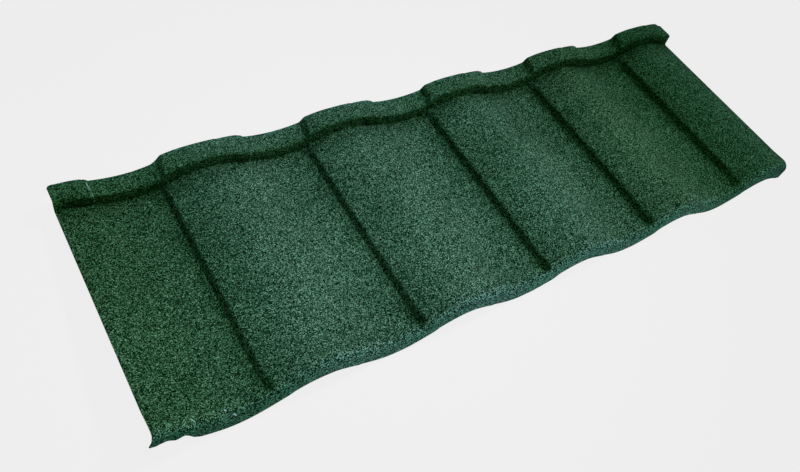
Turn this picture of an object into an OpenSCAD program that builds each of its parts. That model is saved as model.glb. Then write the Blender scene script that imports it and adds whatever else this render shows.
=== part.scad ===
// Tile effect roofing sheet: one pressed steel sheet with a stone granule coat.
// A rounded nose turns down at the front and an upstand with a flange stands at the back.
// Waves run along the course and each ends in a steep step, like the side of a real tile.
// The sheet is shaped with its pan level and is then laid down as it rests on a floor:
// on the lower edge of its nose and on the troughs in front of its upstand.

/* [Sheet] */
// Length of the sheet along the course of tiles
sheet_length = 1340; // [1300:5:1400]
// Depth of the sheet from the front of the nose to the back edge of the flange
sheet_depth = 428; // [360:2:500]
// Thickness of the steel with its granule coat
sheet_thickness = 1.8; // [1:0.1:3]

/* [Tile pattern] */
// Number of tile steps across the sheet
step_count = 5; // [3:1:5]
// Distance from one tile step to the next
tile_pitch = 254; // [240:1:260]
// Height of the pan's wave from its trough to its crest
wave_height = 26; // [20:1:34]
// Distance from a step to the crest that follows it
crest_offset = 76; // [60:1:85]
// Distance from a step to the trough that follows it
trough_offset = 206; // [195:1:215]
// Height of the steep tile step
step_height = 11; // [6:0.5:14]
// Width of the face of the steep tile step
step_width = 12; // [8:1:18]
// Height of the step's foot above the trough
step_foot_rise = 4.5; // [1:0.5:8]

/* [Nose] */
// Outer radius of the rounded nose
nose_radius = 18; // [12:1:26]
// Height of the nose from the pan to its lower edge
nose_height = 41; // [32:1:46]
// Angle by which the lower edge of the nose tucks back under the sheet
nose_tuck = 1; // [0:1:15]
// Height of the waves in the lower edge of the nose
nose_wave_height = 32; // [20:1:36]
// Distance from a step to the crest in the lower edge of the nose
nose_crest_offset = 90; // [76:1:96]
// Length of pan behind the nose over which a step runs out
step_run_out = 26; // [15:1:40]
// How far the front left corner is lifted, to go over the next sheet
corner_lift = 8; // [0:0.5:12]
// Length of the nose over which its left end is lifted and trimmed
corner_length = 66; // [30:1:80]
// Share of the nose's straight lower part that is trimmed off at that end
corner_trim = 0.7; // [0:0.05:0.8]
// How far the lower tip of the front left corner points outwards
corner_flare = 6.5; // [0:0.5:8]

/* [Upstand and flange] */
// Height of the flange above the pan
upstand_height = 25; // [20:1:40]
// Width of the flange from the face of the upstand to the back edge
flange_width = 36; // [25:1:60]
// Height of the flange's wave at its back edge
flange_wave_height = 21; // [16:1:30]
// Radius of the bends at the foot and at the top of the upstand
bend_radius = 4; // [3:0.5:6]
// Length of pan in front of the upstand over which a step softens
step_softening = 18; // [12:1:40]
// Share of the step that is left where it meets the upstand
step_at_upstand = 0.7; // [0.4:0.05:1]
// How far a step drifts to the right on its way to the back edge of the flange
step_drift = 6; // [0:1:12]

/* [Side lap pads] */
// Distance from a step to the flattened pad where the next sheet laps
pad_offset = 98; // [88:1:110]
// Width of the pad
pad_width = 54; // [40:1:60]
// Width of the ramps at the two sides of the pad
pad_ramp = 7; // [3:0.5:10]
// How far the right side of the pad stands above the flange's wave
pad_rise = 4; // [0:0.1:6]
// How far the left side of the pad lies below the flange's wave
pad_dip = 1.5; // [0:0.1:4]
// Share of the pad's shape that shows on the pan and the nose
pad_on_pan = 0.25; // [0:0.05:0.6]

/* [Hidden] */

step_cuts = 7;
shoulder_cuts = 6;
ramp_cuts = 2;
pad_cuts = 3;
trough_cuts = 7;
nose_cuts = 5;
bend_cuts = 2;
end_clearance = 2;
nose_softening = 0.45;
drift_reach = 54;
flange_roundness = 0.7;
flange_share_on_top = 0.3;
flare_share_on_nose = 0.5;
flare_sharpness = 4;
trim_ramp_share = 0.3;

first_step = (sheet_length - (step_count - 1) * tile_pitch) / 2;
upstand_y = sheet_depth - flange_width;
pad_end = pad_offset + pad_width;

// Part of the way from a to b, for a share t from 0 to 1
function mix(a, b, t) = a + (b - a) * t;
// Share from 0 to 1 that starts and ends gently as v goes from a to b
function ease(a, b, v) = let (t = min(1, max(0, (v - a) / (b - a)))) t * t * (3 - 2 * t);
// n evenly spaced values from a up to but not including b
function cuts(a, b, n) = [for (i = [0 : n - 1]) mix(a, b, i / n)];
// Distance from the middle of the last step, from half a step's width before it
function past_step(x) =
    let (start = first_step - step_width / 2, turns = floor((x - start) / tile_pitch))
    x - first_step - turns * tile_pitch;

// Wave of the tiles: up the step, over the crest, down to the trough and on to the next step.
// A roundness under 1 broadens the crest and the trough.
function tile_wave(u, height, roundness) =
    let (crest = height / 2, foot = step_foot_rise - height / 2, shoulder = foot + step_height,
        face = step_width / 2, foot_reach = tile_pitch - face - trough_offset)
    u < face
        ? mix(foot, shoulder, ease(-face, face, u))
        : u < crest_offset
            ? mix(crest, shoulder, pow((crest_offset - u) / (crest_offset - face), 2 / roundness))
            : u < trough_offset
                ? let (c = cos(180 * (u - crest_offset) / (trough_offset - crest_offset)))
                    crest * sign(c) * pow(abs(c), roundness)
                : mix(-height / 2, foot, pow((u - trough_offset) / foot_reach, 2));
function pan_wave(u) = tile_wave(u, wave_height, 1);
function flange_wave(u) = tile_wave(u, flange_wave_height, flange_roundness);
// Wave of the lower edge of the nose, where the step has run out
function nose_wave(u) = nose_wave_height / 2 * cos(360 * (u - nose_crest_offset) / tile_pitch);

// Height of the pad over the flange's wave at a distance from the step
function pad(u) = mix(-pad_dip, pad_rise, (u - pad_offset) / pad_width)
    * ease(pad_offset, pad_offset + pad_ramp, u) * (1 - ease(pad_end - pad_ramp, pad_end, u));
// Height that the shoulder beside a step loses where the step is softened
function step_loss(u) = step_height * ease(-step_width / 2, step_width / 2, u)
    * (1 - ease(step_width / 2, crest_offset, u));
// Share from 1 beside a step to 0 at drift_reach from it
function beside_step(u) = 1 - ease(step_width / 2, drift_reach, u)
    + ease(tile_pitch - drift_reach, tile_pitch - step_width / 2, u);

// Positions along the sheet, closest together at the steps and the ramps of the pads
pitch_marks = concat(
    cuts(-step_width / 2, step_width / 2, step_cuts),
    cuts(step_width / 2, pad_offset, shoulder_cuts),
    cuts(pad_offset, pad_offset + pad_ramp, ramp_cuts),
    cuts(pad_offset + pad_ramp, pad_end - pad_ramp, pad_cuts),
    cuts(pad_end - pad_ramp, pad_end, ramp_cuts),
    cuts(pad_end, tile_pitch - step_width / 2, trough_cuts));
inner_marks = [for (k = [-1 : step_count - 1]) for (u = pitch_marks)
    let (x = first_step + k * tile_pitch + u)
    if (x > end_clearance && x < sheet_length - end_clearance) x];
columns = concat([0], inner_marks, [sheet_length]);

// Section of the sheet from front to back. A row holds its y and z, the angle of the upper
// skin's outward direction, and how much of each shape shows there: the pan's wave over the
// nose's, the flange's wave over the pan's, the step, the pad, the lifted corner, its flare and trim.
tuck_end = 180 + nose_tuck;
tuck_y = nose_radius * (1 + cos(tuck_end));
tuck_z = nose_radius * (sin(tuck_end) - 1);
edge_drop = nose_height + tuck_z;
edge_row = [tuck_y + edge_drop * tan(nose_tuck), -nose_height, tuck_end,
    0, 0, 1, pad_on_pan, 1, 1, 1];
nose_rows = [for (i = [0 : nose_cuts])
    let (t = i / nose_cuts, a = mix(tuck_end, 90, t))
    [nose_radius * (1 + cos(a)), nose_radius * (sin(a) - 1), a,
        nose_softening * t, 0, 1, pad_on_pan, 1, max(0, flare_share_on_nose - t), 0]];
pan_front_rows = [for (t = [0.5, 1])
    [nose_radius + t * step_run_out, 0, 90,
        mix(nose_softening, 1, t), 0, 1, pad_on_pan, 1 - t, 0, 0]];
pan_back_rows = [for (t = [0, 0.5, 1])
    [upstand_y - bend_radius - (1 - t) * step_softening, 0, 90,
        1, 0, mix(1, step_at_upstand, t), pad_on_pan, 0, 0, 0]];
foot_rows = [for (i = [1 : bend_cuts])
    let (a = mix(-90, 0, i / bend_cuts))
    [upstand_y + bend_radius * (cos(a) - 1), bend_radius * (1 + sin(a)), 180 + a,
        1, 0, step_at_upstand, pad_on_pan, 0, 0, 0]];
top_rows = [for (i = [0 : bend_cuts])
    let (t = i / bend_cuts, a = mix(180, 90, t))
    [upstand_y + bend_radius * (1 + cos(a)), upstand_height - bend_radius * (1 - sin(a)), a,
        1, flange_share_on_top * t, 1, 1, 0, 0, 0]];
back_row = [sheet_depth, upstand_height, 90, 1, 1, 1, 1, 0, 0, 0];
section = concat([edge_row], nose_rows, pan_front_rows, pan_back_rows, foot_rows, top_rows, [back_row]);

last_row = len(section) - 1;
last_column = len(columns) - 1;

// Point of the upper skin in a row of the section, at x along the sheet
function upper_point(row, x) =
    let (s = section[row], u = past_step(x), a = s[2], rise = s[6] * pad(u),
        pan = mix(nose_wave(u), pan_wave(u) - (1 - s[5]) * step_loss(u), s[3]),
        corner = 1 - ease(0, corner_length, x),
        trimmed = 1 - ease((1 - trim_ramp_share) * corner_length, corner_length, x),
        trim = corner_trim * edge_drop * s[9] * trimmed)
    [x + step_drift * s[4] * beside_step(u) - corner_flare * s[8] * pow(corner, flare_sharpness),
        s[0] + rise * cos(a) - trim * tan(nose_tuck),
        s[1] + mix(pan, flange_wave(u), s[4]) + rise * sin(a) + corner_lift * s[7] * corner + trim];

upper = [for (row = [0 : last_row]) [for (x = columns) upper_point(row, x)]];

// Direction straight out of the upper skin at one of its points
function outward(row, column) =
    let (along = upper[row][min(column + 1, last_column)] - upper[row][max(column - 1, 0)],
        a = section[row][2], n = cross([along.x, 0, along.z], [0, sin(a), -cos(a)]))
    n / norm(n);

lower = [for (row = [0 : last_row]) [for (column = [0 : last_column])
    upper[row][column] - sheet_thickness * outward(row, column)]];

// The sheet tips until the lower edge of the nose and the troughs by the upstand are level
foot_row = len(nose_rows) + len(pan_front_rows) + len(pan_back_rows);
function lowest(points) = let (low = min([for (p = points) p.z])) [for (p = points) if (p.z == low) p][0];
front_rest = lowest(concat(upper[0], lower[0]));
back_rest = lowest(lower[foot_row]);
rest_angle = atan2(back_rest.z - front_rest.z, back_rest.y - front_rest.y);

function tipped(p) = let (y = p.y - front_rest.y, z = p.z - front_rest.z)
    [p.x, y * cos(rest_angle) + z * sin(rest_angle), z * cos(rest_angle) - y * sin(rest_angle)];
resting_points = [for (skin = [upper, lower]) for (line = skin) for (p = line) tipped(p)];
function middle(values) = (min(values) + max(values)) / 2;
box_foot = [middle([for (p = resting_points) p.x]), middle([for (p = resting_points) p.y]),
    min([for (p = resting_points) p.z])];
sheet_points = [for (p = resting_points) p - box_foot];

// Places of the points in the list: the upper skin comes first, row by row
skin_size = (last_row + 1) * (last_column + 1);
function up(row, column) = row * (last_column + 1) + column;
function down(row, column) = skin_size + up(row, column);
// Two triangles for four corners, given clockwise as seen from outside
function two_triangles(a, b, c, d) = [[a, b, c], [a, c, d]];

skin_faces = [for (row = [0 : last_row - 1]) for (column = [0 : last_column - 1])
    each concat(
        two_triangles(up(row, column), up(row + 1, column),
            up(row + 1, column + 1), up(row, column + 1)),
        two_triangles(down(row, column), down(row, column + 1),
            down(row + 1, column + 1), down(row + 1, column)))];
long_edge_faces = [for (column = [0 : last_column - 1])
    each concat(
        two_triangles(up(0, column), up(0, column + 1), down(0, column + 1), down(0, column)),
        two_triangles(up(last_row, column + 1), up(last_row, column),
            down(last_row, column), down(last_row, column + 1)))];
short_edge_faces = [for (row = [0 : last_row - 1])
    each concat(
        two_triangles(up(row + 1, 0), up(row, 0), down(row, 0), down(row + 1, 0)),
        two_triangles(up(row, last_column), up(row + 1, last_column),
            down(row + 1, last_column), down(row, last_column)))];

// The whole pressed sheet
module roofing_sheet() {
    color("darkgreen")
        polyhedron(points = sheet_points, faces = concat(skin_faces, long_edge_faces, short_edge_faces));
}

roofing_sheet();
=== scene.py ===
"""Looks of the tile effect roofing sheet: a fine mesh of the pressed form and its stone granule coat."""
import math

import bpy
import numpy as np
from mathutils import Matrix, Vector


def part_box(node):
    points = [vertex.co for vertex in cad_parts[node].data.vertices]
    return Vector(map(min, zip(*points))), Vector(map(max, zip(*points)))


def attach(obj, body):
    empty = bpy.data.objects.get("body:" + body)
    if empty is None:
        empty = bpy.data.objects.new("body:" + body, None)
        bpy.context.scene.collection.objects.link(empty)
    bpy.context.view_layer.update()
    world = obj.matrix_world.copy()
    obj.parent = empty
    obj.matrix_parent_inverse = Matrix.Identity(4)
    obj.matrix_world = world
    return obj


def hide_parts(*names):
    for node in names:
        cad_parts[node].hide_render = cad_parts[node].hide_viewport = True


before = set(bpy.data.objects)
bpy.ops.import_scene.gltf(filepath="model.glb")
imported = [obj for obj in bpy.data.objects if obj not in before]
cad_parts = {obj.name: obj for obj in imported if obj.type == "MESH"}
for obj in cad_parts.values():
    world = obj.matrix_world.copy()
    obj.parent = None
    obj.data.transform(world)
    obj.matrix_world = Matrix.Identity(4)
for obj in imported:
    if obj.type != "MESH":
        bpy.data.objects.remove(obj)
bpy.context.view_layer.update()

# Camera, as it stood for the photograph: place in metres, then the directions of its aim and its top
IMAGE_WIDTH = 800
SENSOR_WIDTH = 36.0
FOCAL_PIXELS = 759.4
CAMERA_PLACE = Vector((-0.7649, -0.4701, 1.0586))
CAMERA_AIM = Vector((0.45769, 0.33666, -0.82291))
CAMERA_UP = Vector((0.30802, 0.80818, 0.50196))

# Sizes of the pressed sheet in metres, with its counts, shares and powers, as in the CAD
SHEET_LENGTH = 1.340
SHEET_DEPTH = 0.428
SHEET_THICKNESS = 0.0018
STEP_COUNT = 5
TILE_PITCH = 0.254
WAVE_HEIGHT = 0.026
CREST_OFFSET = 0.076
TROUGH_OFFSET = 0.206
STEP_HEIGHT = 0.011
STEP_WIDTH = 0.012
STEP_FOOT_RISE = 0.0045
NOSE_RADIUS = 0.018
NOSE_HEIGHT = 0.041
NOSE_TUCK = math.radians(1)
NOSE_WAVE_HEIGHT = 0.032
NOSE_CREST_OFFSET = 0.090
NOSE_SOFTENING = 0.45
STEP_RUN_OUT = 0.026
CORNER_LIFT = 0.008
CORNER_LENGTH = 0.066
CORNER_TRIM = 0.7
TRIM_RAMP_SHARE = 0.3
CORNER_FLARE = 0.0065
FLARE_POWER = 4
FLARE_AT_TUCK = 0.5
UPSTAND_HEIGHT = 0.025
FLANGE_WIDTH = 0.036
FLANGE_WAVE_HEIGHT = 0.021
FLANGE_ROUNDNESS = 0.7
FLANGE_WAVE_AT_BEND = 0.3
BEND_RADIUS = 0.004
STEP_SOFTENING = 0.018
STEP_AT_UPSTAND = 0.7
STEP_DRIFT = 0.006
DRIFT_REACH = 0.054
PAD_OFFSET = 0.098
PAD_WIDTH = 0.054
PAD_RAMP = 0.007
PAD_RISE = 0.004
PAD_DIP = 0.0015
PAD_ON_PAN = 0.25

FIRST_STEP = (SHEET_LENGTH - (STEP_COUNT - 1) * TILE_PITCH) / 2
UPSTAND_Y = SHEET_DEPTH - FLANGE_WIDTH
PAD_END = PAD_OFFSET + PAD_WIDTH


def make_camera():
    """The camera of the photograph, with a plain lens and no shift."""
    data = bpy.data.cameras.new("camera")
    data.lens = FOCAL_PIXELS / IMAGE_WIDTH * SENSOR_WIDTH
    data.sensor_width = SENSOR_WIDTH
    camera = bpy.data.objects.new("camera", data)
    bpy.context.scene.collection.objects.link(camera)
    back = -CAMERA_AIM.normalized()
    right = CAMERA_UP.cross(back).normalized()
    up = back.cross(right)
    turn = Matrix((right, up, back)).transposed().to_4x4()
    camera.matrix_world = Matrix.Translation(CAMERA_PLACE) @ turn
    bpy.context.scene.camera = camera


def mix(a, b, t):
    return a + (b - a) * t


def ease(a, b, v):
    """Share from 0 to 1 that starts and ends gently as v goes from a to b."""
    t = np.clip((v - a) / (b - a), 0, 1)
    return t * t * (3 - 2 * t)


def value_at(place, stops):
    """Value at a place, between (place, value) stops."""
    return np.interp(place, *zip(*stops))


def colour_at(place, stops):
    """Colour at a place, between (place, colour) stops."""
    places, colours = zip(*stops)
    return np.stack([np.interp(place, places, shares) for shares in zip(*colours)], axis=1)


def past_step(x):
    """Distance from the middle of the last step, from half a step's width before it."""
    start = FIRST_STEP - STEP_WIDTH / 2
    return x - FIRST_STEP - np.floor((x - start) / TILE_PITCH) * TILE_PITCH


def tile_wave(u, height, roundness):
    """Up the step, over the crest, down to the trough and on to the next step."""
    face = STEP_WIDTH / 2
    crest = height / 2
    foot = STEP_FOOT_RISE - crest
    shoulder = foot + STEP_HEIGHT
    step = mix(foot, shoulder, ease(-face, face, u))
    rise = np.clip((CREST_OFFSET - u) / (CREST_OFFSET - face), 0, None)
    fall = np.cos(math.pi * (u - CREST_OFFSET) / (TROUGH_OFFSET - CREST_OFFSET))
    run = np.clip((u - TROUGH_OFFSET) / (TILE_PITCH - face - TROUGH_OFFSET), 0, None)
    parts = [
        step,
        mix(crest, shoulder, rise ** (2 / roundness)),
        crest * np.sign(fall) * np.abs(fall) ** roundness,
        mix(-crest, foot, run ** 2),
    ]
    return np.select([u < face, u < CREST_OFFSET, u < TROUGH_OFFSET], parts[:3], parts[3])


def nose_wave(u):
    return NOSE_WAVE_HEIGHT / 2 * np.cos(2 * math.pi * (u - NOSE_CREST_OFFSET) / TILE_PITCH)


def pad(u):
    """Height of the lap pad over the flange's wave."""
    slope = mix(-PAD_DIP, PAD_RISE, (u - PAD_OFFSET) / PAD_WIDTH)
    start = ease(PAD_OFFSET, PAD_OFFSET + PAD_RAMP, u)
    return slope * start * (1 - ease(PAD_END - PAD_RAMP, PAD_END, u))


def step_loss(u):
    """Height that the shoulder beside a step loses where the step is softened."""
    face = STEP_WIDTH / 2
    return STEP_HEIGHT * ease(-face, face, u) * (1 - ease(face, CREST_OFFSET, u))


def beside_step(u):
    """Share from 1 beside a step to 0 at DRIFT_REACH from it."""
    face = STEP_WIDTH / 2
    before = ease(TILE_PITCH - DRIFT_REACH, TILE_PITCH - face, u)
    return 1 - ease(face, DRIFT_REACH, u) + before


# Cuts of the fine mesh along one tile, as (start, end, count)
TILE_CUTS = [
    (-STEP_WIDTH / 2, STEP_WIDTH / 2, 14),
    (STEP_WIDTH / 2, PAD_OFFSET, 30),
    (PAD_OFFSET, PAD_OFFSET + PAD_RAMP, 6),
    (PAD_OFFSET + PAD_RAMP, PAD_END - PAD_RAMP, 13),
    (PAD_END - PAD_RAMP, PAD_END, 7),
    (PAD_END, TILE_PITCH - STEP_WIDTH / 2, 30),
]
END_CLEARANCE = 0.001


def columns():
    """Places of the mesh's columns along the sheet."""
    tile = np.concatenate([np.linspace(a, b, n, endpoint=False) for a, b, n in TILE_CUTS])
    tiles = [FIRST_STEP + k * TILE_PITCH + tile for k in range(-1, STEP_COUNT)]
    inner = np.concatenate(tiles)
    inner = inner[(inner > END_CLEARANCE) & (inner < SHEET_LENGTH - END_CLEARANCE)]
    return np.concatenate([[0], inner, [SHEET_LENGTH]])


# Rows of the fine mesh in each stretch of the section
EDGE_ROWS = 6
NOSE_ROWS = 16
RUN_OUT_ROWS = 8
PAN_ROWS = 14
SOFT_ROWS = 8
BEND_ROWS = 6
FACE_ROWS = 3
FLANGE_ROWS = 8


def section():
    """Rows from front to back: y, z, outward angle, then the shares of the pan's wave over the
    nose's, of the flange's over the pan's, of the step, the pad, the corner's lift and its flare,
    and the height down the straight part below the nose's bend."""
    tuck_end = math.pi + NOSE_TUCK
    level = math.pi / 2
    tuck_y = NOSE_RADIUS * (1 + math.cos(tuck_end))
    tuck_z = NOSE_RADIUS * (math.sin(tuck_end) - 1)
    drop = NOSE_HEIGHT + tuck_z
    rows = []
    for t in np.linspace(1, 0, EDGE_ROWS, endpoint=False):
        y = tuck_y + drop * t * math.tan(NOSE_TUCK)
        flare = mix(FLARE_AT_TUCK, 1, t)
        rows.append((y, tuck_z - drop * t, tuck_end, 0, 0, 1, PAD_ON_PAN, 1, flare, drop * t))
    for t in np.linspace(0, 1, NOSE_ROWS):
        a = mix(tuck_end, level, t)
        y = NOSE_RADIUS * (1 + math.cos(a))
        z = NOSE_RADIUS * (math.sin(a) - 1)
        flare = max(0, FLARE_AT_TUCK - t)
        rows.append((y, z, a, NOSE_SOFTENING * t, 0, 1, PAD_ON_PAN, 1, flare, 0))
    for t in np.linspace(0, 1, RUN_OUT_ROWS + 1)[1:]:
        y = NOSE_RADIUS + t * STEP_RUN_OUT
        rows.append((y, 0, level, mix(NOSE_SOFTENING, 1, t), 0, 1, PAD_ON_PAN, 1 - t, 0, 0))
    pan_start = NOSE_RADIUS + STEP_RUN_OUT
    pan_end = UPSTAND_Y - BEND_RADIUS - STEP_SOFTENING
    for y in np.linspace(pan_start, pan_end, PAN_ROWS + 1)[1:]:
        rows.append((y, 0, level, 1, 0, 1, PAD_ON_PAN, 0, 0, 0))
    for t in np.linspace(0, 1, SOFT_ROWS + 1)[1:]:
        y = pan_end + t * STEP_SOFTENING
        rows.append((y, 0, level, 1, 0, mix(1, STEP_AT_UPSTAND, t), PAD_ON_PAN, 0, 0, 0))
    for a in np.linspace(-level, 0, BEND_ROWS + 1)[1:]:
        y = UPSTAND_Y + BEND_RADIUS * (math.cos(a) - 1)
        z = BEND_RADIUS * (1 + math.sin(a))
        rows.append((y, z, math.pi + a, 1, 0, STEP_AT_UPSTAND, PAD_ON_PAN, 0, 0, 0))
    face_top = UPSTAND_HEIGHT - BEND_RADIUS
    for t in np.linspace(0, 1, FACE_ROWS + 1)[1:-1]:
        z = mix(BEND_RADIUS, face_top, t)
        rows.append((UPSTAND_Y, z, math.pi, 1, 0, mix(STEP_AT_UPSTAND, 1, t),
                     mix(PAD_ON_PAN, 1, t), 0, 0, 0))
    for t in np.linspace(0, 1, BEND_ROWS + 1):
        a = mix(math.pi, level, t)
        y = UPSTAND_Y + BEND_RADIUS * (1 + math.cos(a))
        z = UPSTAND_HEIGHT - BEND_RADIUS * (1 - math.sin(a))
        rows.append((y, z, a, 1, FLANGE_WAVE_AT_BEND * t, 1, 1, 0, 0, 0))
    for t in np.linspace(0, 1, FLANGE_ROWS + 1)[1:]:
        y = mix(UPSTAND_Y + BEND_RADIUS, SHEET_DEPTH, t)
        on_flange = mix(FLANGE_WAVE_AT_BEND, 1, t)
        rows.append((y, UPSTAND_HEIGHT, level, 1, on_flange, 1, 1, 0, 0, 0))
    return np.array(rows)


FOOT_ROW = EDGE_ROWS + NOSE_ROWS + RUN_OUT_ROWS + PAN_ROWS + SOFT_ROWS - 1


# Forms from TRIM_BUMPS to NOSE_BUMPS are in this scene alone, and the CAD is plain there

# Unevenness of the trimmed edge, as (distance from the left end, extra trim)
TRIM_BUMPS = [
    (0, -0.002), (0.008, -0.005), (0.020, 0), (0.029, -0.0065), (0.040, 0.003),
    (0.045, 0), (0.051, -0.006), (0.058, -0.003), (0.066, 0), (0.072, 0),
]
# Trim of the flange's rear edge before the first step and at its corner, as (distance, trim)
FLANGE_TRIM = [(0, 0.010), (0.003, 0.0065), (0.010, 0.005), (0.125, 0.005), (0.150, 0.0035), (0.158, 0)]
# Low ledge that each step leaves on the nose, sweeping to the right on its way down
LEDGE_HEIGHTS = (0.002, 0.004, 0.0065, 0.0065, 0.003)
LEDGE_DRIFT = 0.035
LEDGE_REACH = 0.100
LEDGE_POWER = 2.5
# Unevenness of the nose, as (distance from the left end, rise)
NOSE_BUMPS = [(0.10, 0), (0.15, 0.003), (0.21, 0.005), (0.26, 0.002), (0.32, 0)]


def nearest_step(x):
    """Number of the nearest step and the distance past its middle."""
    number = np.clip(np.round((x - FIRST_STEP) / TILE_PITCH), 0, STEP_COUNT - 1).astype(int)
    return number, x - FIRST_STEP - number * TILE_PITCH


def ledge(x):
    """Rise of the nose from its smooth wave: a slow dip before each step and a short way back."""
    number, past = nearest_step(x)
    dip = np.clip(1 + past / LEDGE_REACH, 0, 1) ** LEDGE_POWER
    back = ease(-STEP_WIDTH / 2, STEP_WIDTH / 2, past)
    return -np.array(LEDGE_HEIGHTS)[number] * dip * (1 - back)


def along_section(rows):
    """Distance of each row from the front edge, along the section."""
    steps = np.hypot(*np.diff(rows[:, :2], axis=0).T)
    return np.concatenate([[0], np.cumsum(steps)])


def sweep(x, rows):
    """Drift of the columns beside each step as the ledge goes down the nose."""
    reach = 1 - ease(STEP_WIDTH / 2, LEDGE_REACH, np.abs(nearest_step(x)[1]))
    distance = along_section(rows)
    pan_start = np.interp(NOSE_RADIUS + STEP_RUN_OUT, rows[:, 0], distance)
    down = np.clip(1 - distance / pan_start, 0, 1) ** 2
    return LEDGE_DRIFT * down[:, None] * reach


def upper_skin(x, rows):
    """Points of the upper skin, row by row, before the sheet tips to rest."""
    u = past_step(x)
    swept = sweep(x, rows)
    pan = tile_wave(u, WAVE_HEIGHT, 1)
    flange = tile_wave(u, FLANGE_WAVE_HEIGHT, FLANGE_ROUNDNESS)
    nose = nose_wave(u + swept) + ledge(x) + value_at(x + swept, NOSE_BUMPS)
    nose = np.maximum(nose, -NOSE_WAVE_HEIGHT / 2)
    corner = 1 - ease(0, CORNER_LENGTH, x)
    y, z, angle, on_pan, on_flange, step, pad_share, lift, flare, straight = rows.T[:, :, None]
    drop = straight.max()
    trim = CORNER_TRIM * drop * (1 - ease((1 - TRIM_RAMP_SHARE) * CORNER_LENGTH, CORNER_LENGTH, x))
    trim = (trim + value_at(x, TRIM_BUMPS)) * straight / drop
    rise = pad_share * pad(u)
    out_on_flange = np.clip((y - UPSTAND_Y - BEND_RADIUS) / (FLANGE_WIDTH - BEND_RADIUS), 0, 1)
    drift = STEP_DRIFT * on_flange * beside_step(u)
    wave = mix(nose, pan - (1 - step) * step_loss(u), on_pan)
    points = np.zeros((len(rows), len(x), 3))
    points[..., 0] = x + swept + drift - CORNER_FLARE * flare * corner ** FLARE_POWER
    points[..., 1] = y + rise * np.cos(angle) - trim * math.tan(NOSE_TUCK)
    points[..., 1] -= value_at(x, FLANGE_TRIM) * out_on_flange
    points[..., 2] = z + mix(wave, flange, on_flange) + rise * np.sin(angle)
    points[..., 2] += CORNER_LIFT * lift * corner
    points[..., 2] += trim
    return points


def outward(points, rows):
    """Direction straight out of the upper skin at each point."""
    along = np.empty_like(points)
    along[:, 1:-1] = points[:, 2:] - points[:, :-2]
    along[:, 0] = points[:, 1] - points[:, 0]
    along[:, -1] = points[:, -1] - points[:, -2]
    along[..., 1] = 0
    angle = rows[:, 2][:, None]
    across = np.zeros_like(points)
    across[..., 1] = np.sin(angle)
    across[..., 2] = -np.cos(angle)
    direction = np.cross(along, across)
    return direction / np.linalg.norm(direction, axis=2, keepdims=True)


def tip_to_rest(skins):
    """Tips the sheet onto its nose's lower edge and its rear troughs, and sets it in the CAD's box."""
    upper, lower = skins
    edge = np.concatenate([upper[0], lower[0]])
    front = edge[edge[:, 2].argmin()]
    back = lower[FOOT_ROW][lower[FOOT_ROW][:, 2].argmin()]
    angle = math.atan2(back[2] - front[2], back[1] - front[1])
    tipped = []
    for skin in skins:
        y = skin[..., 1] - front[1]
        z = skin[..., 2] - front[2]
        level_y = y * math.cos(angle) + z * math.sin(angle)
        level_z = z * math.cos(angle) - y * math.sin(angle)
        tipped.append(np.stack([skin[..., 0], level_y, level_z], axis=2))
    points = np.concatenate([s.reshape(-1, 3) for s in tipped])
    low, high = points.min(0), points.max(0)
    cad_low, cad_high = (np.array(corner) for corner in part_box("roofing_sheet"))
    shift = (cad_low + cad_high) / 2 - (low + high) / 2
    shift[2] = cad_low[2] - low[2]
    return [skin + shift for skin in tipped]


def quads(a, b, c, d):
    """One row of four corners for each face, from the four corners' grids."""
    return np.stack([a.ravel(), b.ravel(), c.ravel(), d.ravel()], axis=1)


def sheet_faces(row_count, column_count):
    """Quads of the upper skin, the lower skin and the rim between them."""
    index = np.arange(row_count * column_count).reshape(row_count, column_count)
    under = index + row_count * column_count
    top = quads(index[:-1, :-1], index[:-1, 1:], index[1:, 1:], index[1:, :-1])
    bottom = quads(under[:-1, :-1], under[1:, :-1], under[1:, 1:], under[:-1, 1:])
    front = quads(index[0, 1:], index[0, :-1], under[0, :-1], under[0, 1:])
    back = quads(index[-1, :-1], index[-1, 1:], under[-1, 1:], under[-1, :-1])
    left = quads(index[:-1, 0], index[1:, 0], under[1:, 0], under[:-1, 0])
    right = quads(index[1:, -1], index[:-1, -1], under[:-1, -1], under[1:, -1])
    rim = np.concatenate([front, back, left, right])
    return top, bottom, rim


# Painted light and shade along the sheet, standing in for the light's falloff, as (distance from the left
# end, share of each colour)
PAINTED_LIGHT_ALONG_SHEET = [
    (0.06, (0.64, 0.93, 0.63)),
    (0.26, (0.94, 1.12, 1.05)),
    (0.52, (0.84, 1.02, 0.97)),
    (0.77, (0.68, 0.92, 0.77)),
    (0.90, (0.64, 0.89, 0.69)),
    (1.02, (0.70, 1.00, 0.69)),
    (1.09, (0.73, 1.13, 0.75)),
    (1.18, (0.62, 1.08, 0.64)),
    (1.30, (0.70, 1.35, 0.87)),
]
# Painted light and shade over one tile's wave: darker by the step and a paler painted sheen on the slope
# that falls away from it, as (distance past the step, share of each colour)
PAINTED_LIGHT_OVER_WAVE = [
    (0.000, (0.90, 1.00, 0.94)),
    (0.060, (1.00, 1.00, 1.00)),
    (0.140, (1.13, 1.03, 1.09)),
    (0.160, (1.04, 0.96, 1.00)),
    (0.190, (1.04, 0.99, 1.01)),
    (0.225, (0.97, 1.00, 0.97)),
    (0.254, (0.90, 1.00, 0.94)),
]
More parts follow.
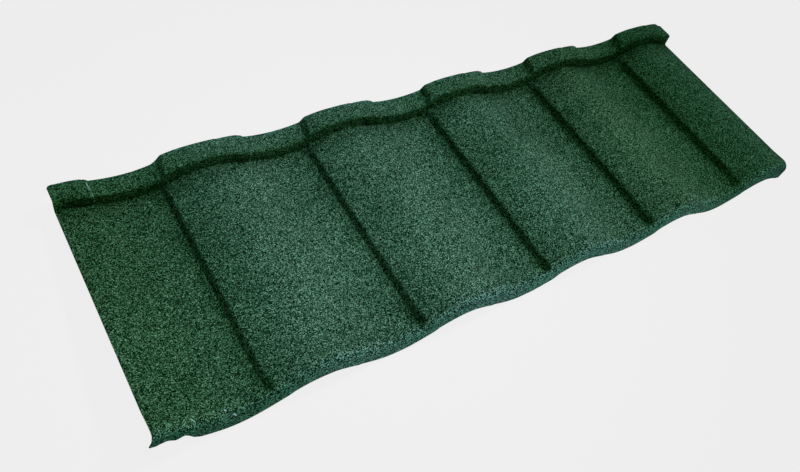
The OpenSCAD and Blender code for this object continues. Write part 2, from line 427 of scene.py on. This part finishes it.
# Painted light and shade on the nose's face along the sheet, darker towards both ends, as (distance from
# the left end, share of each colour)
NOSE_PAINTED_LIGHT = [
    (0.00, (0.44, 0.62, 0.58)),
    (0.10, (0.64, 0.76, 0.68)),
    (0.22, (0.74, 0.84, 0.72)),
    (0.33, (0.94, 0.98, 0.84)),
    (0.47, (0.88, 0.96, 0.85)),
    (0.62, (1.14, 1.12, 1.04)),
    (0.80, (1.00, 1.04, 1.00)),
    (0.90, (0.94, 1.00, 0.98)),
    (1.05, (0.78, 0.80, 0.82)),
    (1.18, (0.60, 0.61, 0.63)),
    (1.34, (0.34, 0.34, 0.36)),
]
# Drift of the flange's and the riser's light, as (distance from the left end, share of light left)
FLANGE_DRIFT = [
    (0.06, 1.22), (0.18, 1.10), (0.30, 1.13), (0.43, 1.00), (0.58, 1.12),
    (0.75, 1.10), (0.93, 1.11), (1.12, 1.03), (1.25, 1.00),
]
RISER_FADE = [(0.26, 1.10), (0.50, 1.20), (0.75, 1.30), (1.00, 1.15), (1.18, 0.75), (1.34, 0.50)]
# Tints of single stretches of the section, as a share of each colour: painted shade on the riser and in the
# creases, a painted bluish reflection on the nose's face, and painted highlights on the nose's bend, on the
# lip beside each step and along the rear edge
RISER_SHADE_TINT = (0.80, 1.05, 0.65)
CREASE_SHADE_TINT = (0.85, 1.00, 0.80)
NOSE_REFLECTION_TINT = (0.82, 1.06, 1.28)
BEND_HIGHLIGHT_TINT = (1.20, 1.15, 1.22)
LIP_HIGHLIGHT_TINT = (1.7, 2.1, 2.9)
REAR_EDGE_HIGHLIGHT_TINT = (0.88, 1.05, 1.18)
REAR_EDGE_WIDTH = 0.005
# Angles of the skin, in degrees from level at 90 to upright at 180, over which each comes in or goes
NOSE_FACE_TURN = (115, 140)
NOSE_TINT_TURN = (110, 170)
BEND_TINT_TURN = (92, 115)
BEND_TINT_END = (140, 172)
RISER_TINT_TURN = (120, 168)
TOP_BEND_END = (120, 165)
# Distances past a step's middle over which the crease's painted shade tint and the painted highlight on the
# lip come in and go
CREASE_START = (-0.007, -0.004)
CREASE_END = (0.002, 0.006)
LIP_START = (0.001, 0.003)
LIP_END = (0.005, 0.009)
# Contrast of the granules' tones along the sheet, as (distance from the left end, contrast)
CONTRAST_DRIFT = [(0.05, 0.87), (0.25, 0.88), (0.45, 0.94), (0.65, 1.00), (0.90, 1.10), (1.20, 1.05)]
# Contrast of the granules' tones, against the pan's
NOSE_CONTRAST = 1.3
FLANGE_CONTRAST = 0.87
# Painted shade in the corners around the upstand, as (distance past the start of the section's soft
# stretch, share of light left)
CORNER_PAINTED_SHADE = [
    (-0.180, 1.00), (-0.120, 0.94), (-0.075, 0.91), (-0.040, 0.99), (-0.008, 1.00), (0.009, 0.74),
    (0.018, 0.64), (0.024, 0.50), (0.030, 0.80), (0.041, 0.95), (0.047, 0.88), (0.055, 0.90), (0.080, 0.98),
]
# Powers that turn the painted shade's share of light left into shares of red, green and blue
PAINTED_SHADE_HUE = (1.3, 1.0, 1.4)
# Painted shade beside each step: reach before and past its middle, and the share of light that it takes
FOOT_REACH = (0.024, 0.008)
FOOT_END = 0.004
FOOT_PAINTED_SHADE = 0.27
CREASE_REACH = (0.012, 0.006)
CREASE_PAST = (0.002, 0.011)
SHOULDER_PAST = (0.020, 0.090)
SHOULDER_PAINTED_SHADE = 0.12
# Share of light that the painted crease shade takes at the left and at the right, on the pan and by the
# nose
PAN_CREASE = (0.05, 0.50)
NOSE_CREASE = (0.40, 0.60)
# Distances from the left end over which the painted shade grows, and from the front over which the nose's
# ends
PAN_CREASE_SPAN = (0.1, 1.0)
NOSE_CREASE_SPAN = (0.1, 0.4)
SHOULDER_SPAN = (0.2, 0.5)
NOSE_CREASE_END = (0.020, 0.055)
# Shares of the painted crease shade that the riser and the flange don't get
RISER_SHADE_SPARED = 0.7
FLANGE_SHADE_SPARED = 0.15
# Gap that the painted crease shade leaves just before the upstand, as distances from it, and the share that
# fades there
GAP_START = (0.024, 0.014)
GAP_END = 0.006
GAP_SHARE = 0.85


def turned(span, angle):
    """Share from 0 to 1 as the skin turns through the span of degrees."""
    low, high = span
    return ease(math.radians(low), math.radians(high), angle)


def down_nose(rows):
    """Share from 0 on top of the nose's bend to 1 on its face."""
    return (rows[:, 0] < NOSE_RADIUS) * turned(NOSE_FACE_TURN, rows[:, 2])


def short_of_upstand(y):
    """Share that drops where the painted crease shade fades just short of the upstand."""
    far, near = GAP_START
    gap = ease(UPSTAND_Y - far, UPSTAND_Y - near, y) * (1 - ease(UPSTAND_Y - GAP_END, UPSTAND_Y, y))
    return 1 - GAP_SHARE * gap


def before_step(reach, u):
    """Share that comes in over a reach before the next step."""
    far, near = reach
    return ease(TILE_PITCH - far, TILE_PITCH - near, u)


def crease_shade_depth(x, y, rows):
    """Share of light that the painted crease shade takes at each point."""
    on_pan = mix(*PAN_CREASE, ease(*PAN_CREASE_SPAN, x))
    by_nose = mix(*NOSE_CREASE, ease(*NOSE_CREASE_SPAN, x)) * (1 - ease(*NOSE_CREASE_END, y))
    depth = np.maximum(on_pan, by_nose) * (1 - down_nose(rows))[:, None] * short_of_upstand(y)
    on_riser = np.abs(y - UPSTAND_Y) < BEND_RADIUS
    on_flange = y >= UPSTAND_Y + BEND_RADIUS
    return depth * (1 - RISER_SHADE_SPARED * on_riser - FLANGE_SHADE_SPARED * on_flange)


def painted_shade(x, rows):
    """Share of light that each point keeps under the painted shade beside the creases and around the
    upstand.
    """
    distance = along_section(rows)
    distance -= np.interp(UPSTAND_Y - BEND_RADIUS - STEP_SOFTENING, rows[:, 0], distance)
    u = past_step(x)
    y = rows[:, 0][:, None]
    on_pan = (1 - down_nose(rows))[:, None] * (y < UPSTAND_Y)
    foot = before_step(FOOT_REACH, u) + 1 - ease(-STEP_WIDTH / 2, -FOOT_END, u)
    within = np.maximum(1 - ease(*CREASE_PAST, u), before_step(CREASE_REACH, u))
    taken = np.maximum(FOOT_PAINTED_SHADE * foot * on_pan, within * crease_shade_depth(x, y, rows))
    shoulder = SHOULDER_PAINTED_SHADE * (u > 0) * (1 - ease(*SHOULDER_PAST, u)) * ease(*SHOULDER_SPAN, x)
    return value_at(distance, CORNER_PAINTED_SHADE)[:, None] * (1 - shoulder * on_pan - taken)


def painted_light_and_contrast(x, rows):
    """Share of red, green and blue that each point keeps of the coat's colour under the painted light and
    shade, and its contrast.
    """
    u = past_step(x)
    y, angle = rows[:, 0], rows[:, 2]
    near_upstand = np.abs(y - UPSTAND_Y) < BEND_RADIUS
    on_riser = near_upstand * turned(RISER_TINT_TURN, angle)
    on_nose = (y < NOSE_RADIUS) * turned(NOSE_TINT_TURN, angle)
    on_bend = (y < NOSE_RADIUS) * turned(BEND_TINT_TURN, angle) * (1 - turned(BEND_TINT_END, angle))
    on_flange = y > UPSTAND_Y
    top_bend = near_upstand * on_flange * (1 - turned(TOP_BEND_END, angle))
    rear_edge = y > SHEET_DEPTH - REAR_EDGE_WIDTH
    on_crease = (1 - down_nose(rows)) * (1 - on_riser) * short_of_upstand(y)
    crease = ease(*CREASE_START, u) * (1 - ease(*CREASE_END, u)) * on_crease[:, None]
    # Painted highlight on the lip of the top bend beside each step
    lip_highlight = ease(*LIP_START, u) * (1 - ease(*LIP_END, u)) * top_bend[:, None]
    # Painted light and shade along the sheet and over each wave, times the painted shade by the creases and
    # around the upstand
    drift = colour_at(x, PAINTED_LIGHT_ALONG_SHEET) * colour_at(u % TILE_PITCH, PAINTED_LIGHT_OVER_WAVE)
    colours = drift * painted_shade(x, rows)[..., None] ** np.array(PAINTED_SHADE_HUE)
    # Painted shade tints on the riser and in the creases, painted reflection on the nose, painted
    # highlights on its bend, the lip and the rear edge, and painted light along the nose, riser and flange
    parts = [
        (on_riser[:, None], RISER_SHADE_TINT),
        (crease, CREASE_SHADE_TINT),
        (on_nose[:, None], NOSE_REFLECTION_TINT),
        (on_bend[:, None], BEND_HIGHLIGHT_TINT),
        (lip_highlight, LIP_HIGHLIGHT_TINT),
        (rear_edge[:, None], REAR_EDGE_HIGHLIGHT_TINT),
        (on_nose[:, None], colour_at(x, NOSE_PAINTED_LIGHT)),
        (on_riser[:, None], value_at(x, RISER_FADE)[:, None]),
        (on_flange[:, None], value_at(x, FLANGE_DRIFT)[:, None]),
    ]
    for share, colour in parts:
        colours *= mix(1, np.array(colour), share[..., None])
    contrast = mix(1, NOSE_CONTRAST, down_nose(rows)) * mix(1, FLANGE_CONTRAST, on_flange)
    contrast = contrast[:, None] * value_at(x, CONTRAST_DRIFT)
    return np.concatenate([colours, contrast[..., None]], axis=2)


COATED, UNDERSIDE = 0, 1
SHARP_ANGLE = math.radians(50)


def make_sheet(materials):
    """The whole sheet as one closed mesh."""
    x = columns()
    rows = section()
    upper = upper_skin(x, rows)
    lower = upper - SHEET_THICKNESS * outward(upper, rows)
    upper, lower = tip_to_rest([upper, lower])
    top, bottom, rim = sheet_faces(*upper.shape[:2])
    points = np.concatenate([upper.reshape(-1, 3), lower.reshape(-1, 3)])
    faces = np.concatenate([top, bottom, rim])
    mesh = bpy.data.meshes.new("pressed_sheet")
    mesh.from_pydata(points.tolist(), [], faces.tolist())
    slots = np.full(len(faces), COATED)
    slots[len(top):len(top) + len(bottom)] = UNDERSIDE
    mesh.polygons.foreach_set("material_index", slots.astype(np.int32))
    for material in materials:
        mesh.materials.append(material)
    # Painted light and shade, with the granules' contrast, stored at each point for the coat's material
    tint = np.tile(painted_light_and_contrast(x, rows).reshape(-1, 4), (2, 1))
    attribute = mesh.attributes.new("painted_light_and_contrast", "FLOAT_COLOR", "POINT")
    attribute.data.foreach_set("color", tint.ravel())
    mesh.shade_smooth()
    mesh.set_sharp_from_angle(angle=SHARP_ANGLE)
    sheet = bpy.data.objects.new("pressed_sheet", mesh)
    bpy.context.scene.collection.objects.link(sheet)
    return sheet


class Nodes:
    """Short calls for adding shader nodes and links to one material."""

    def __init__(self, name):
        self.material = bpy.data.materials.new(name)
        self.material.use_nodes = True
        self.tree = self.material.node_tree
        self.tree.nodes.clear()

    def add(self, kind, settings=None, **inputs):
        """A node of this kind. Inputs are numbers, colours or the outputs of other nodes."""
        node = self.tree.nodes.new("ShaderNode" + kind)
        for key, value in (settings or {}).items():
            setattr(node, key, value)
        for key, value in inputs.items():
            socket = node.inputs[key.replace("_", " ")]
            self.feed(socket, value)
        return node

    def feed(self, socket, value):
        if isinstance(value, bpy.types.NodeSocket):
            self.tree.links.new(value, socket)
        else:
            socket.default_value = value

    def math(self, operation, *values):
        node = self.tree.nodes.new("ShaderNodeMath")
        node.operation = operation
        for socket, value in zip(node.inputs, values):
            self.feed(socket, value)
        return node.outputs[0]

    def blend(self, share, a, b, kind="MIX"):
        """Colour a turned into colour b by a share."""
        node = self.tree.nodes.new("ShaderNodeMix")
        node.data_type = "RGBA"
        node.blend_type = kind
        self.feed(node.inputs[0], share)
        self.feed(node.inputs[6], a)
        self.feed(node.inputs[7], b)
        return node.outputs[2]

    def ramp(self, share, stops):
        """Colour or grey by a share, through the given (place, colour) stops."""
        node = self.tree.nodes.new("ShaderNodeValToRGB")
        elements = node.color_ramp.elements
        while len(elements) < len(stops):
            elements.new(0.5)
        for element, (place, colour) in zip(elements, stops):
            element.position = place
            element.color = (*colour, 1)
        self.feed(node.inputs[0], share)
        return node.outputs[0]

    def grade(self, value, low, high, new_low, new_high):
        """Value taken from one range to another and held within it."""
        node = self.tree.nodes.new("ShaderNodeMapRange")
        for socket, number in zip(node.inputs, (value, low, high, new_low, new_high)):
            self.feed(socket, number)
        return node.outputs[0]

    def vector(self, operation, *values):
        node = self.tree.nodes.new("ShaderNodeVectorMath")
        node.operation = operation
        for socket, value in zip(node.inputs, values):
            self.feed(socket, value)
        return node

    def near_line(self, place, start, end, width):
        """Share that fades from 1 on the line from start to end to 0 at half a width from it."""
        line = Vector(end) - Vector(start)
        offset = self.vector("SUBTRACT", place, start).outputs[0]
        along = self.vector("DOT_PRODUCT", offset, line / line.length_squared).outputs["Value"]
        along = self.grade(along, 0.0, 1.0, 0.0, 1.0)
        foot = self.vector("SCALE", line)
        self.feed(foot.inputs["Scale"], along)
        distance = self.vector("DISTANCE", offset, foot.outputs[0]).outputs["Value"]
        return self.grade(distance, width / 4, width / 2, 1.0, 0.0)

    def finish(self, shader):
        output = self.tree.nodes.new("ShaderNodeOutputMaterial")
        self.tree.links.new(shader, output.inputs["Surface"])
        return self.material


# Granules of the coat: how many lie along a metre, their relief in metres, and tones from dark to pale
GRANULES_PER_METRE = 800
CLUMPS_PER_METRE = 800
PATCHES_PER_METRE = 9
GRANULE_RELIEF = 0.0009
RELIEF_STRENGTH = 0.7
GRANULE_TONES = [
    (0.00, (0.0000, 0.0009, 0.0001)),
    (0.20, (0.0003, 0.0055, 0.0014)),
    (0.40, (0.0044, 0.0308, 0.0122)),
    (0.60, (0.0266, 0.0870, 0.0478)),
    (0.80, (0.0845, 0.1860, 0.1290)),
    (1.00, (0.2620, 0.4170, 0.3520)),
]
# Tone that the contrast leaves as it is, and the unevenness that clumps and patches add to the tones
MIDDLE_TONE = 0.55
CLUMP_TONE = 0.09
PATCH_TONE = 0.03
NOISE_LOW, NOISE_HIGH = 0.3, 0.7
GRANULE_ROUGHNESS = (0.5, 0.85)
# Only some granules glint: those above this share, by up to this specular level
GLINT_START = 0.80
GLINT = 0.30
# Worn scratches: start, end, width and strength
SCRATCHES = [
    ((-0.6121, 0.2034, 0.0371), (-0.6108, 0.1801, 0.0372), 0.0028, 0.75),
    ((-0.6135, -0.1993, 0.0577), (-0.6102, -0.2042, 0.0544), 0.0022, 0.80),
    ((-0.5666, -0.2028, 0.0411), (-0.5660, -0.2036, 0.0407), 0.0030, 1.0),
    ((-0.5559, -0.2109, 0.0345), (-0.5539, -0.2128, 0.0312), 0.0030, 1.0),
]
WORN_TONE = (0.28, 0.50, 0.50)


def granule_coat():
    """Dark green stone granules of mixed tones in a clear glaze."""
    n = Nodes("granule_coat")
    place = n.add("TexCoord").outputs["Object"]
    cells = n.add("TexVoronoi", Vector=place, Scale=GRANULES_PER_METRE)
    split = n.add("SeparateColor", Color=cells.outputs["Color"])
    tone = split.outputs["Red"]
    clumps = n.add("TexNoise", Vector=place, Scale=CLUMPS_PER_METRE, Detail=2.0)
    patches = n.add("TexNoise", Vector=place, Scale=PATCHES_PER_METRE, Detail=3.0)
    clump = n.grade(clumps.outputs["Fac"], NOISE_LOW, NOISE_HIGH, -CLUMP_TONE, CLUMP_TONE)
    patch = n.grade(patches.outputs["Fac"], NOISE_LOW, NOISE_HIGH, -PATCH_TONE, PATCH_TONE)
    tone = n.math("ADD", n.math("ADD", tone, clump), patch)
    # The attribute carries painted light and shade for each point, and the granules' contrast
    tint = n.add("Attribute", {"attribute_name": "painted_light_and_contrast"})
    tone = n.math("MULTIPLY_ADD", n.math("SUBTRACT", tone, MIDDLE_TONE), tint.outputs["Alpha"], MIDDLE_TONE)
    colour = n.ramp(tone, GRANULE_TONES)
    colour = n.blend(1.0, colour, tint.outputs["Color"], "MULTIPLY")
    for start, end, width, strength in SCRATCHES:
        worn = n.math("MULTIPLY", n.near_line(place, start, end, width), strength)
        colour = n.blend(worn, colour, (*WORN_TONE, 1))
    shaped = n.math("SUBTRACT", 1.0, cells.outputs["Distance"])
    relief = n.add("Bump", Strength=RELIEF_STRENGTH, Distance=GRANULE_RELIEF, Height=shaped)
    gloss = n.grade(split.outputs["Green"], 0.0, 1.0, *GRANULE_ROUGHNESS)
    glint = n.grade(split.outputs["Blue"], GLINT_START, 1.0, 0.0, GLINT)
    # Glints are damped where the painted shade lowers the green share
    kept = n.add("SeparateColor", Color=tint.outputs["Color"]).outputs["Green"]
    glint = n.math("MULTIPLY", glint, n.math("MINIMUM", kept, 1.0))
    shader = n.add("BsdfPrincipled", Base_Color=colour, Roughness=gloss, Normal=relief.outputs[0],
                   Specular_IOR_Level=glint)
    return n.finish(shader.outputs[0])


# Primer of the underside: clouds and grains along a metre, tones of the clouds, and the grain's relief
PRIMER_CLOUDS_PER_METRE = 30.0
PRIMER_GRAINS_PER_METRE = 900.0
PRIMER_TONES = [(0.35, (0.10, 0.125, 0.105)), (0.65, (0.15, 0.18, 0.15))]
PRIMER_RELIEF = 0.0001
PRIMER_RELIEF_STRENGTH = 0.3
PRIMER_ROUGHNESS = (0.42, 0.6)


def underside_primer():
    """Thin dull grey-green primer on the steel's back."""
    n = Nodes("underside_primer")
    place = n.add("TexCoord").outputs["Object"]
    cloud = n.add("TexNoise", Vector=place, Scale=PRIMER_CLOUDS_PER_METRE, Detail=4.0)
    colour = n.ramp(cloud.outputs["Fac"], PRIMER_TONES)
    grain = n.add("TexNoise", Vector=place, Scale=PRIMER_GRAINS_PER_METRE, Detail=2.0)
    relief = n.add("Bump", Strength=PRIMER_RELIEF_STRENGTH, Distance=PRIMER_RELIEF,
                   Height=grain.outputs["Fac"])
    gloss = n.grade(cloud.outputs["Fac"], NOISE_LOW, NOISE_HIGH, *PRIMER_ROUGHNESS)
    shader = n.add("BsdfPrincipled", Base_Color=colour, Roughness=gloss, Normal=relief.outputs[0])
    return n.finish(shader.outputs[0])


# Flat background, as a linear grey, and how the floor's own glow and share of shadow match it
BACKGROUND = 0.845
FLOOR_GLOW = 0.8735
FLOOR_SIZE = 14.0
FLOOR_GREY = 0.8
SHADOW_SHARE = 0.045
BOUNCE_LEVEL = 1.6


def make_floor():
    """Pale floor that shows as the flat background and keeps the object's shadow."""
    n = Nodes("floor")
    rays = n.add("LightPath")
    seen = n.math("MAXIMUM", rays.outputs["Is Camera Ray"], rays.outputs["Is Glossy Ray"])
    seen = n.math("MAXIMUM", seen, rays.outputs["Is Transmission Ray"])
    bounced = n.math("MULTIPLY", n.math("SUBTRACT", 1.0, seen), BOUNCE_LEVEL)
    plain = n.add("BsdfDiffuse", Color=(FLOOR_GREY, FLOOR_GREY, FLOOR_GREY, 1))
    glow = n.math("ADD", seen, bounced)
    light = n.add("Emission", Color=(FLOOR_GLOW, FLOOR_GLOW, FLOOR_GLOW, 1), Strength=glow)
    share = n.math("SUBTRACT", 1.0, n.math("MULTIPLY", seen, SHADOW_SHARE))
    mixed = n.tree.nodes.new("ShaderNodeMixShader")
    n.feed(mixed.inputs[0], share)
    n.feed(mixed.inputs[1], plain.outputs[0])
    n.feed(mixed.inputs[2], light.outputs[0])
    material = n.finish(mixed.outputs[0])
    half = FLOOR_SIZE / 2
    mesh = bpy.data.meshes.new("floor")
    corners = [(-half, -half, 0), (half, -half, 0), (half, half, 0), (-half, half, 0)]
    mesh.from_pydata(corners, [], [(0, 1, 2, 3)])
    mesh.materials.append(material)
    floor = bpy.data.objects.new("floor", mesh)
    bpy.context.scene.collection.objects.link(floor)


# Lamps: name, place, point aimed at, size, power in watts, spread in degrees
LAMPS = [
    ("key", (2.63, 0.4, 3.73), (-0.27, -0.08, 0.0), 0.6, 3.3, 20),
]
WORLD_LEVEL = 0.22


def make_lights():
    """The lamps, and a plain world that the camera sees as the background."""
    for name, place, aim, size, power, spread in LAMPS:
        data = bpy.data.lights.new(name, "AREA")
        data.shape = "SQUARE"
        data.size = size
        data.energy = power
        data.spread = math.radians(spread)
        lamp = bpy.data.objects.new(name, data)
        lamp.location = place
        lamp.rotation_euler = (Vector(aim) - Vector(place)).to_track_quat("-Z", "Y").to_euler()
        bpy.context.scene.collection.objects.link(lamp)
    world = bpy.data.worlds.new("studio")
    world.use_nodes = True
    tree = world.node_tree
    back = tree.nodes["Background"]
    rays = tree.nodes.new("ShaderNodeLightPath")
    level = tree.nodes.new("ShaderNodeMapRange")
    level.inputs["To Min"].default_value = WORLD_LEVEL
    level.inputs["To Max"].default_value = BACKGROUND
    tree.links.new(rays.outputs["Is Camera Ray"], level.inputs["Value"])
    tree.links.new(level.outputs[0], back.inputs["Strength"])
    back.inputs["Color"].default_value = (1, 1, 1, 1)
    bpy.context.scene.world = world


make_camera()
make_floor()
make_lights()

sheet = make_sheet([granule_coat(), underside_primer()])
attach(sheet, "root")
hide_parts("roofing_sheet")

bpy.context.scene.view_settings.view_transform = "Standard"
